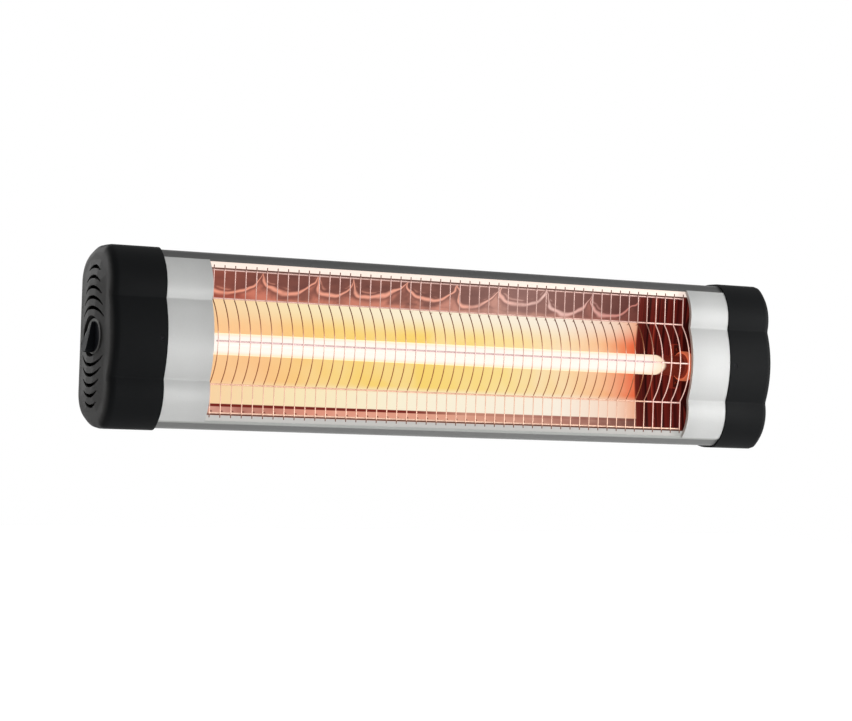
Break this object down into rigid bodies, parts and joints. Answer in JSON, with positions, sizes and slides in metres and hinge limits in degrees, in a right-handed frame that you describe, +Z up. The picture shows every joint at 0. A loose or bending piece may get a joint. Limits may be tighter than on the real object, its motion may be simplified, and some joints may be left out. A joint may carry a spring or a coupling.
{
  "type": "wall-mounted infrared heater",
  "caption": "Long wall-mounted infrared heater: glowing quartz tube in a polished trough behind a bent wire guard, scalloped black end caps, side rotary switch, tilting wall bracket.",
  "frame": {"origin": "middle of the wall bracket's back face, on the wall and level with the tilt pivots", "axes": "+Z up, the wall in the plane Y = 0 with the heater facing -Y, +X along the heater with the switch end at -X"},
  "size_m": [0.8456, 0.158, 0.191],
  "materials": {
    "housing_paint": "satin",
    "cap_plastic": "satin",
    "band_paint": "satin",
    "reflector_sheet": "polished",
    "plated_steel": "zinc plated",
    "grille_wire": "polished",
    "quartz": "clear",
    "glowing_strip": "glowing",
    "ceramic": "matte",
    "knob_plastic": "satin",
    "switch_plastic": "matte",
    "gland_plastic": "matte",
    "terminal_plastic": "gloss",
    "brass": "satin",
    "lead_sleeve": "matte",
    "bracket_paint": "satin",
    "screw_dark": "blackened"
  },
  "bodies": {
    "wall_mount": {"wall_bracket": "bracket_paint", "pivot_bolts": "plated_steel", "inner_washers": "plated_steel", "outer_washers": "plated_steel", "clamp_knobs": "knob_plastic"},
    "heater": {"housing": "housing_paint", "left_cap": "cap_plastic", "right_cap": "cap_plastic", "cap_screws": "screw_dark", "left_band": "band_paint", "right_band": "band_paint", "reflector": "reflector_sheet", "left_end_plate": "plated_steel", "right_end_plate": "plated_steel", "end_plate_screws": "plated_steel", "grille_uprights": "grille_wire", "grille_rails": "grille_wire", "quartz_tube": "quartz", "heating_strip": "glowing_strip", "left_ceramic": "ceramic", "right_ceramic": "ceramic", "left_tube_clip": "plated_steel", "right_tube_clip": "plated_steel", "clip_screws": "plated_steel", "rotary_switch": "switch_plastic", "switch_nut": "brass", "cable_gland": "gland_plastic", "gland_nut": "gland_plastic", "terminal_block": "terminal_plastic", "terminal_screws": "brass", "thermal_cutout": "switch_plastic", "earth_stud": "brass", "earth_nut": "brass", "wiring": "lead_sleeve", "left_heater_ear": "bracket_paint", "right_heater_ear": "bracket_paint", "ear_screws": "plated_steel", "ear_nuts": "plated_steel"},
    "knob": {"switch_shaft": "plated_steel", "switch_knob": "knob_plastic"}
  },
  "joints": [
    {"name": "tilt", "type": "hinge", "parent": "wall_mount", "child": "heater", "pos_m": [0, -0.038, 0], "axis": [1, 0, 0], "range_deg": [0, 45]},
    {"name": "switch", "type": "hinge", "parent": "heater", "child": "knob", "pos_m": [-0.4105, -0.106, 0], "axis": [1, 0, 0], "range_deg": [-90, 0]}
  ]
}
